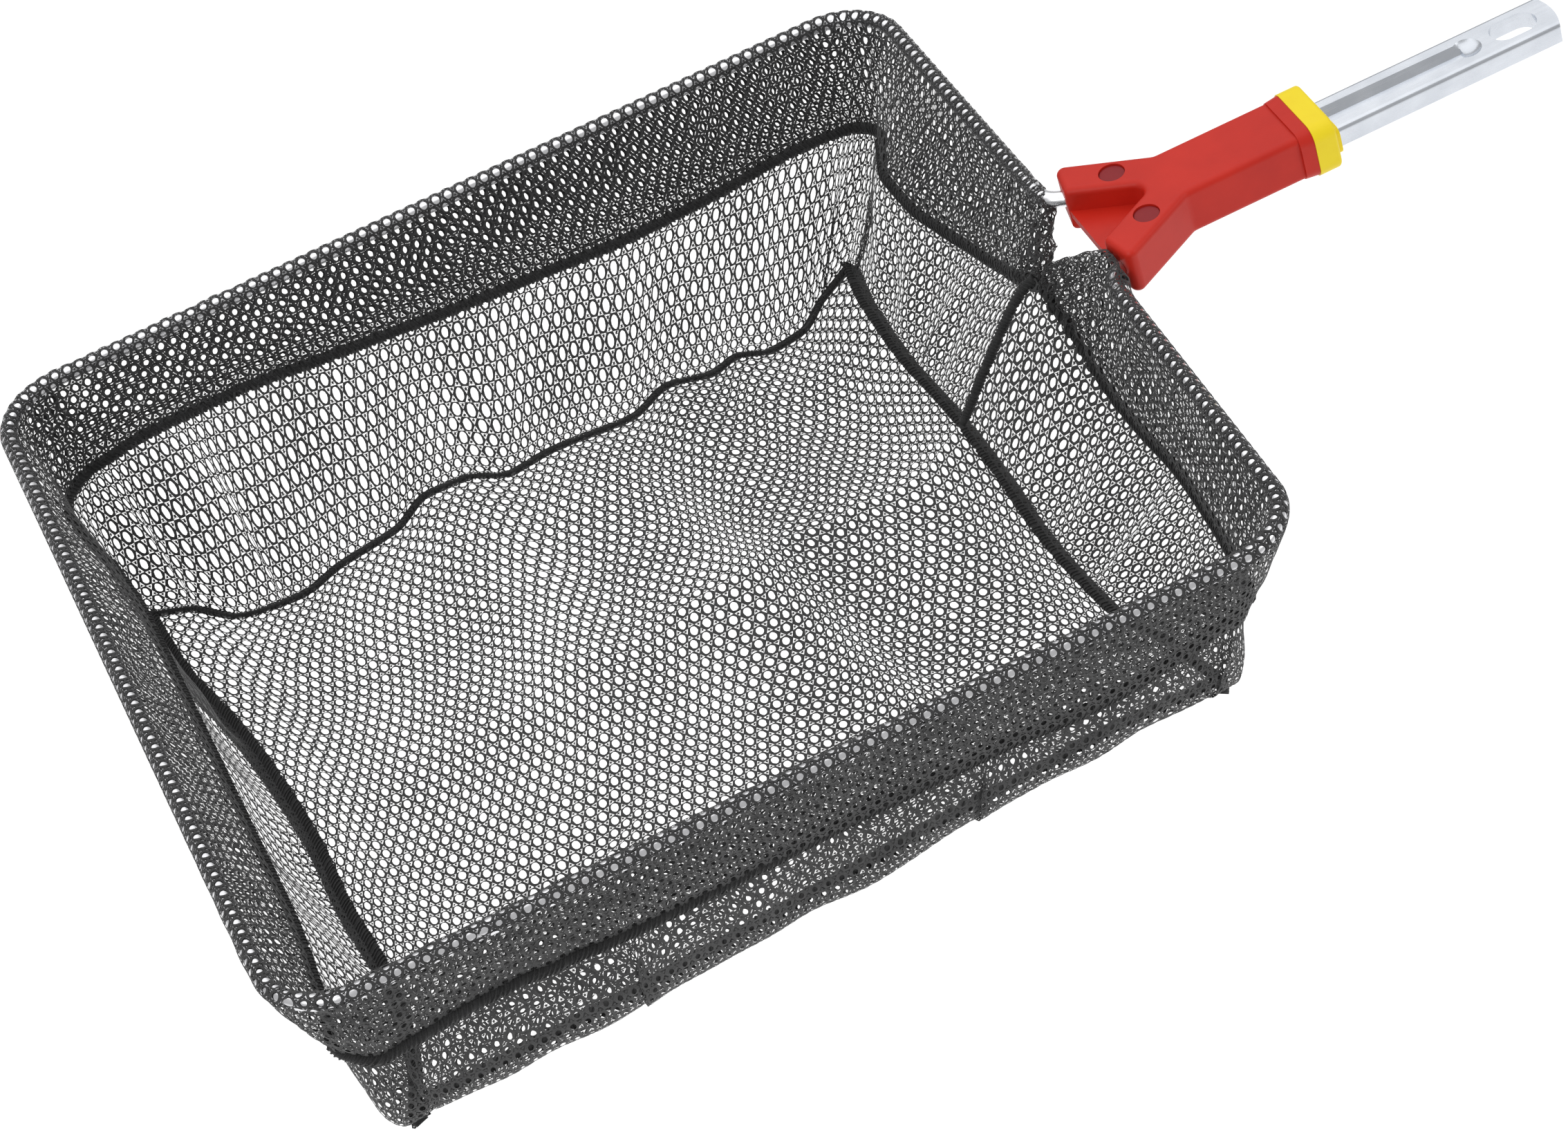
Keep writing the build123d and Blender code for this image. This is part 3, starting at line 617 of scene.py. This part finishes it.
def texture_noise(tree, scale, detail, rough, stretch=(1, 1, 1)):
    place = tree.nodes.new("ShaderNodeTexCoord")
    mapping = tree.nodes.new("ShaderNodeMapping")
    mapping.inputs["Scale"].default_value = stretch
    noise = tree.nodes.new("ShaderNodeTexNoise")
    noise.inputs["Scale"].default_value = scale
    noise.inputs["Detail"].default_value = detail
    noise.inputs["Roughness"].default_value = rough
    tree.links.new(place.outputs["Object"], mapping.inputs["Vector"])
    tree.links.new(mapping.outputs["Vector"], noise.inputs["Vector"])
    return noise.outputs["Fac"]


def ramp(tree, value, *stops):
    node = tree.nodes.new("ShaderNodeValToRGB")
    while len(node.color_ramp.elements) < len(stops):
        node.color_ramp.elements.new(0.5)
    for element, (position, colour) in zip(node.color_ramp.elements, stops):
        element.position = position
        element.color = (*colour, 1)
    tree.links.new(value, node.inputs["Fac"])
    return node.outputs["Color"]


def bump(tree, shader, value, strength, distance):
    node = tree.nodes.new("ShaderNodeBump")
    node.inputs["Strength"].default_value = strength
    node.inputs["Distance"].default_value = distance
    tree.links.new(value, node.inputs["Height"])
    tree.links.new(node.outputs["Normal"], shader.inputs["Normal"])


def grey(x):
    return (x, x, x * 1.02)


def net_material(name, dark, light, rough):
    made, tree, shader = new_material(name)
    fibre = texture_noise(tree, 900, 3, 0.7)
    tone = texture_noise(tree, 60, 3, 0.5)
    mixed = tree.nodes.new("ShaderNodeMath")
    mixed.operation = "MULTIPLY_ADD"
    mixed.inputs[1].default_value = 0.65
    tree.links.new(fibre, mixed.inputs[0])
    scaled = tree.nodes.new("ShaderNodeMath")
    scaled.operation = "MULTIPLY"
    scaled.inputs[1].default_value = 0.35
    tree.links.new(tone, scaled.inputs[0])
    tree.links.new(scaled.outputs[0], mixed.inputs[2])
    colour = ramp(tree, mixed.outputs[0], (0.3, grey(dark)), (0.7, grey(light)))
    tree.links.new(colour, shader.inputs["Base Color"])
    shader.inputs["Roughness"].default_value = rough
    shader.inputs["Specular IOR Level"].default_value = 0.35
    shader.inputs["Sheen Weight"].default_value = 0.12
    shader.inputs["Sheen Roughness"].default_value = 0.5
    bump(tree, shader, fibre, 0.8, 0.00035)
    return made


def plastic_material(name, low, high, rough):
    made, tree, shader = new_material(name)
    cloud = texture_noise(tree, 45, 4, 0.55)
    fine = texture_noise(tree, 2600, 3, 0.6)
    colour = ramp(tree, cloud, (0.3, low), (0.7, high))
    tree.links.new(colour, shader.inputs["Base Color"])
    shine = tree.nodes.new("ShaderNodeMapRange")
    shine.inputs["To Min"].default_value = rough - 0.06
    shine.inputs["To Max"].default_value = rough + 0.08
    tree.links.new(fine, shine.inputs["Value"])
    tree.links.new(shine.outputs["Result"], shader.inputs["Roughness"])
    shader.inputs["Specular IOR Level"].default_value = 0.3
    bump(tree, shader, fine, 0.5, 0.00006)
    return made


def metal_material(name, low, high, rough, stretch, scale=500):
    made, tree, shader = new_material(name)
    drawn = texture_noise(tree, scale, 4, 0.6, stretch)
    cloud = texture_noise(tree, 90, 3, 0.5)
    colour = ramp(tree, cloud, (0.3, low), (0.7, high))
    tree.links.new(colour, shader.inputs["Base Color"])
    shader.inputs["Metallic"].default_value = 1.0
    shine = tree.nodes.new("ShaderNodeMapRange")
    shine.inputs["To Min"].default_value = rough - 0.05
    shine.inputs["To Max"].default_value = rough + 0.1
    tree.links.new(drawn, shine.inputs["Value"])
    tree.links.new(shine.outputs["Result"], shader.inputs["Roughness"])
    bump(tree, shader, drawn, 0.25, 0.00003)
    return made


net_cloth = net_material("knitted_net", 0.021, 0.048, 0.72)
thread = net_material("overlock_thread", 0.012, 0.032, 0.85)
rod_metal = metal_material("drawn_rod", (0.80, 0.80, 0.82), (0.88, 0.88, 0.90), 0.22, (1, 1, 1), 300)
zinc = metal_material("zinc_plate", (0.60, 0.63, 0.68), (0.70, 0.73, 0.78), 0.24, (0.06, 1, 1), 900)
pin_metal = metal_material("plain_pin", (0.50, 0.51, 0.53), (0.60, 0.61, 0.63), 0.35, (1, 1, 1))
red = plastic_material("red_moulding", (0.52, 0.017, 0.008), (0.60, 0.022, 0.010), 0.42)
# The recess plugs' darker red is painted shade: it stands in for the shade inside the recesses where the
# plugs sit.
shaded_red = plastic_material("red_plug_painted_shade", (0.22, 0.010, 0.014), (0.28, 0.014, 0.018), 0.45)
yellow = plastic_material("yellow_moulding", (0.90, 0.68, 0.012), (0.95, 0.76, 0.018), 0.4)

CAD_LOOKS = {"frame_rod": (rod_metal, "bright_rod"), "tang": (zinc, "zinc_steel"),
             "tang_pins": (pin_metal, "pin_steel"), "rod_screws": (pin_metal, "pin_steel"),
             "socket_upper_shell": (red, "red_plastic"), "socket_lower_shell": (red, "red_plastic"),
             "recess_plugs": (shaded_red, "dark_red_plastic"), "collar": (yellow, "yellow_plastic")}
for node, (look, slot_name) in CAD_LOOKS.items():
    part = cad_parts[node]
    part.data.materials.clear()
    part.data.materials.append(look)


def soft_piece(piece, node, moves):
    """Parents a piece to its body's empty, or bakes its place into its mesh if it blends, and hides the CAD
    node that it stands for.
    """
    if moves == "blend":
        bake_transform(piece)
    else:
        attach(piece, moves)
    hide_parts(node)


sleeve_net = net(int(round(SLEEVE_LENGTH / PITCH)), int(round(SLEEVE_WIDTH / ROW)), SLEEVE_LENGTH,
                 SLEEVE_WIDTH, SLEEVE_HOLE, sleeve_open)
wall_net = net(int(round(WALL_LENGTH / PITCH)), int(round(WALL_WIDTH / ROW)), WALL_LENGTH, WALL_WIDTH,
               WALL_HOLE, wall_open)
SIDE_NAMES = ("handle_far", "far", "end", "near", "handle_near")
RING_CUTS = (0, U_C1, U_C2, U_C3, U_C4, U_TOTAL)
WALL_CUTS = [wall_cloth_at(cut) for cut in RING_CUTS]
SLEEVE_CUTS = np.interp(RING_CUTS, ring_grid, cloth_grid)


def strip_pieces(prefix, flat_net, surface, cuts, moves):
    """Lays one strip of net on its surface as five pieces, one for each side between two cuts."""
    points, relief, quads, quads_cell, stars, stars_cell, centres = flat_net
    placed = lay(surface, points, relief)
    for side, low, high in zip(SIDE_NAMES, cuts[:-1], cuts[1:]):
        inside = (centres[:, 0] >= low) & (centres[:, 0] < high)
        piece = mesh_object(prefix + "_cloth_" + side, placed, quads[inside[quads_cell]],
                            stars[inside[stars_cell]], net_cloth)
        soft_piece(piece, prefix + "_" + side, moves)


strip_pieces("sleeve", sleeve_net, sleeve_cloth, SLEEVE_CUTS, "head")
strip_pieces("wall", wall_net, wall, WALL_CUTS, "blend")

floor_columns = int(round(FLOOR_LONG / PITCH))
points, relief, quads, quads_cell, stars, stars_cell, centres = net(
    floor_columns, int(round(FLOOR_WIDE / FLOOR_ROW)), FLOOR_LONG, FLOOR_WIDE, FLOOR_HOLE, floor_open)
floor_piece = mesh_object("floor_cloth", lay(floor, points, relief), quads, stars, net_cloth)
soft_piece(floor_piece, "floor_panel", "bag_floor")


# Seam bands: depth of the ribs and their unevenness, sides of the band, and its steps along the line.
RIB, RIB_JITTER = 0.10, 0.03
BAND_SIDES = 10
BAND_STEP = 0.9
# Ladder threads: radius, how far they stand off the band's edge and face, and where round a thread its
# edges run.
THREAD_RADIUS = 0.30
OFF_EDGE, OFF_FACE = 0.25, 0.28
THREAD_EDGES = (0.5, 2.1, 3.7, 5.2)


def band(name, line, across, width, thick, rung, material):
    """Overlocked seam: a ribbed flat tube along a line, with slanting ladder threads over it."""
    gap = np.linalg.norm(np.diff(line, axis=0), axis=1)
    length = np.concatenate([[0], np.cumsum(gap)])
    count = int(length[-1] / BAND_STEP)
    at = np.linspace(0, length[-1], count)
    centre = np.stack([np.interp(at, length, line[:, i]) for i in range(3)], 1)
    side = np.stack([np.interp(at, length, across[:, i]) for i in range(3)], 1)
    ahead = np.gradient(centre, axis=0)
    ahead /= np.linalg.norm(ahead, axis=1, keepdims=True)
    side -= ahead * (side * ahead).sum(1, keepdims=True)
    side /= np.linalg.norm(side, axis=1, keepdims=True)
    face = np.cross(ahead, side)
    angle = 2 * math.pi * np.arange(BAND_SIDES) / BAND_SIDES
    random = np.random.default_rng(len(name))
    rib = 1 + RIB * np.sin(at / rung * 2 * math.pi) + random.normal(0, RIB_JITTER, count)
    wide = side[:, None] * (np.cos(angle) * width / 2)[None, :, None] * rib[:, None, None]
    deep = face[:, None] * (np.sin(angle) * thick / 2)[None, :, None] * rib[:, None, None]
    ring_points = centre[:, None] + wide + deep
    i = np.arange(count - 1)[:, None] * BAND_SIDES
    j = np.arange(BAND_SIDES)[None]
    nxt = (j + 1) % BAND_SIDES
    quads = np.stack([i + j, i + nxt, i + BAND_SIDES + nxt, i + BAND_SIDES + j], 2).reshape(-1, 4)
    points = [ring_points.reshape(-1, 3)]
    ends = count * BAND_SIDES
    points.append(centre[[0, -1]])
    triangles = [[ends, (m + 1) % BAND_SIDES, m] for m in range(BAND_SIDES)]
    last = (count - 1) * BAND_SIDES
    triangles += [[ends + 1, last + m, last + (m + 1) % BAND_SIDES] for m in range(BAND_SIDES)]
    total = ends + 2
    edges = len(THREAD_EDGES)
    stitch_quads = []
    half_turn = np.linspace(-0.12 * math.pi, 1.12 * math.pi, 7)
    for face_side in (1, -1):
        for s in np.arange(rung, length[-1] - 2 * rung, rung):
            k = min(int(s / BAND_STEP), count - 2)
            lean = random.uniform(0.55, 0.95) * rung
            w = np.cos(half_turn) * (width / 2 + OFF_EDGE)
            h = np.sin(half_turn) * (thick / 2 + OFF_FACE) * face_side
            path = (centre[k] + side[k] * w[:, None] + face[k] * h[:, None]
                    + ahead[k] * (w[:, None] / width * 2 * lean))
            tangent = np.gradient(path, axis=0)
            tangent /= np.linalg.norm(tangent, axis=1, keepdims=True)
            other = np.cross(tangent, ahead[k])
            other /= np.linalg.norm(other, axis=1, keepdims=True)
            flat = np.cross(other, tangent)
            r = THREAD_RADIUS
            tube = np.stack([path + flat * r * math.cos(c) + other * r * math.sin(c)
                             for c in THREAD_EDGES], 1)
            points.append(tube.reshape(-1, 3))
            for m in range(len(half_turn) - 1):
                this, following = total + m * edges, total + (m + 1) * edges
                for c in range(edges):
                    beside = (c + 1) % edges
                    stitch_quads.append([this + c, this + beside, following + beside, following + c])
            total += len(half_turn) * edges
    quads = np.concatenate([quads, np.array(stitch_quads)])
    points = (np.concatenate(points) + np.array([RING_X, 0, 0])) * MM
    return mesh_object(name, points, quads, triangles, material)


# Width and thickness of the three seams, how far the floor seam stands off, and their threads' spacing.
HEM_TALL, HEM_DEEP = 4.6, 3.0
FOOT_TALL, FOOT_DEEP, FOOT_SHIFT = 7.8, 2.0, 1.8
CLOSE_TALL, CLOSE_DEEP = 4.2, 2.6
RUNG = 1.9
SEAM_STEPS = 2400
# The hem seam stops this far short of the cloth's two ends.
HEM_SHORT = 1.0

u_line = np.linspace(HEM_SHORT, U_TOTAL - HEM_SHORT, SEAM_STEPS)
inner_line = sleeve(u_line, np.full_like(u_line, SLEEVE_WIDTH))
outer_line = sleeve(u_line, np.full_like(u_line, 0.0))
upright = np.tile([0, 0, 1.0], (len(u_line), 1))
# The hem seam shows below the sleeve's edge on the near side, most of all towards the end.
shown = step(U_NEAR - 50, U_NEAR, u_line) * (1 - 0.7 * step(U_NEAR + 60, U_NEAR + 170, u_line))
shown *= 1 - step(U_BACK - 90, U_BACK - 40, u_line)
hem_line = (inner_line + outer_line) / 2
hem_line[:, 2] += 0.6 - 3.0 * shown
hem_line[:, :2] += ring(u_line)[1] * (2.0 * shown)[:, None]
hem_piece = band("hem_seam_band", hem_line, upright, HEM_TALL, HEM_DEEP, RUNG, thread)
soft_piece(hem_piece, "hem_seam", "head")

u_loop = np.linspace(0.0, U_TOTAL, SEAM_STEPS)
foot_line = spline(FLOOR, u_loop)
_, out_loop = ring(u_loop)
# The floor seam is turned outwards, and inwards under the bag on the near side.
tucked = step(U_NEAR - 35, U_NEAR, u_loop) * (1 - step(U_BACK - 35, U_BACK, u_loop))
slant = np.column_stack([out_loop * (0.75 - 1.6 * tucked)[:, None], 0.3 * tucked - 0.65])
foot_line += slant * FOOT_SHIFT
floor_band = band("floor_seam_band", foot_line, slant, FOOT_TALL, FOOT_DEEP, RUNG, thread)
soft_piece(floor_band, "floor_seam", "bag_floor")

v_line = np.linspace(0, WALL_WIDTH, 120)
close_line = wall(np.full_like(v_line, 0.4), v_line)
close_across = np.tile([0.2, 1.0, 0.3], (len(v_line), 1))
close_band = band("closing_seam_band", close_line, close_across, CLOSE_TALL, CLOSE_DEEP, RUNG, thread)
soft_piece(close_band, "closing_seam", "blend")

# ---------------------------------------------------------------- stage and light
# The studio floor's drop below the part and its reach to each side, in metres, and its glow.
STAGE_DROP = 0.42
STAGE_REACH = 9
STAGE_GLOW = 0.36
WORLD_LIGHT = 0.48
stage_mesh = bpy.data.meshes.new("studio_floor")
stage_corners = [(x * STAGE_REACH, y * STAGE_REACH, 0) for x, y in ((-1, -1), (1, -1), (1, 1), (-1, 1))]
stage_mesh.from_pydata(stage_corners, [], [(0, 1, 2, 3)])
stage_floor = bpy.data.objects.new("studio_floor", stage_mesh)
bpy.context.scene.collection.objects.link(stage_floor)
stage_floor.location.z = cad_box[0].z - STAGE_DROP
pale, _, pale_shader = new_material("pale_floor")
pale_shader.inputs["Base Color"].default_value = (0.92, 0.92, 0.92, 1)
pale_shader.inputs["Roughness"].default_value = 0.9
pale_shader.inputs["Specular IOR Level"].default_value = 0.1
pale_shader.inputs["Emission Color"].default_value = (1, 1, 1, 1)
pale_shader.inputs["Emission Strength"].default_value = STAGE_GLOW
stage_mesh.materials.append(pale)

world = bpy.data.worlds.new("studio")
bpy.context.scene.world = world
world.use_nodes = True
world.node_tree.nodes["Background"].inputs["Color"].default_value = (1, 1, 1, 1)
world.node_tree.nodes["Background"].inputs["Strength"].default_value = WORLD_LIGHT
bpy.context.scene.view_settings.view_transform = "Standard"


def area_light(name, place, target, size, power):
    """Rectangular light: place, target and size in metres, power in watts."""
    data = bpy.data.lights.new(name, "AREA")
    data.shape = "RECTANGLE"
    data.size, data.size_y = size
    data.energy = power
    lamp = bpy.data.objects.new(name, data)
    bpy.context.scene.collection.objects.link(lamp)
    lamp.location = place
    lamp.rotation_mode = "QUATERNION"
    lamp.rotation_quaternion = (Vector(target) - Vector(place)).to_track_quat("-Z", "Y")


area_light("overhead", (-0.2, 0.8, 1.5), (-0.2, 0.8, 0), (3.0, 3.0), 22)
area_light("left_key", (-1.3, -0.9, 1.1), (-0.2, 0, 0), (0.7, 0.6), 6)
area_light("right_fill", (1.2, -0.8, 0.9), (0, 0, 0), (0.6, 0.6), 3)
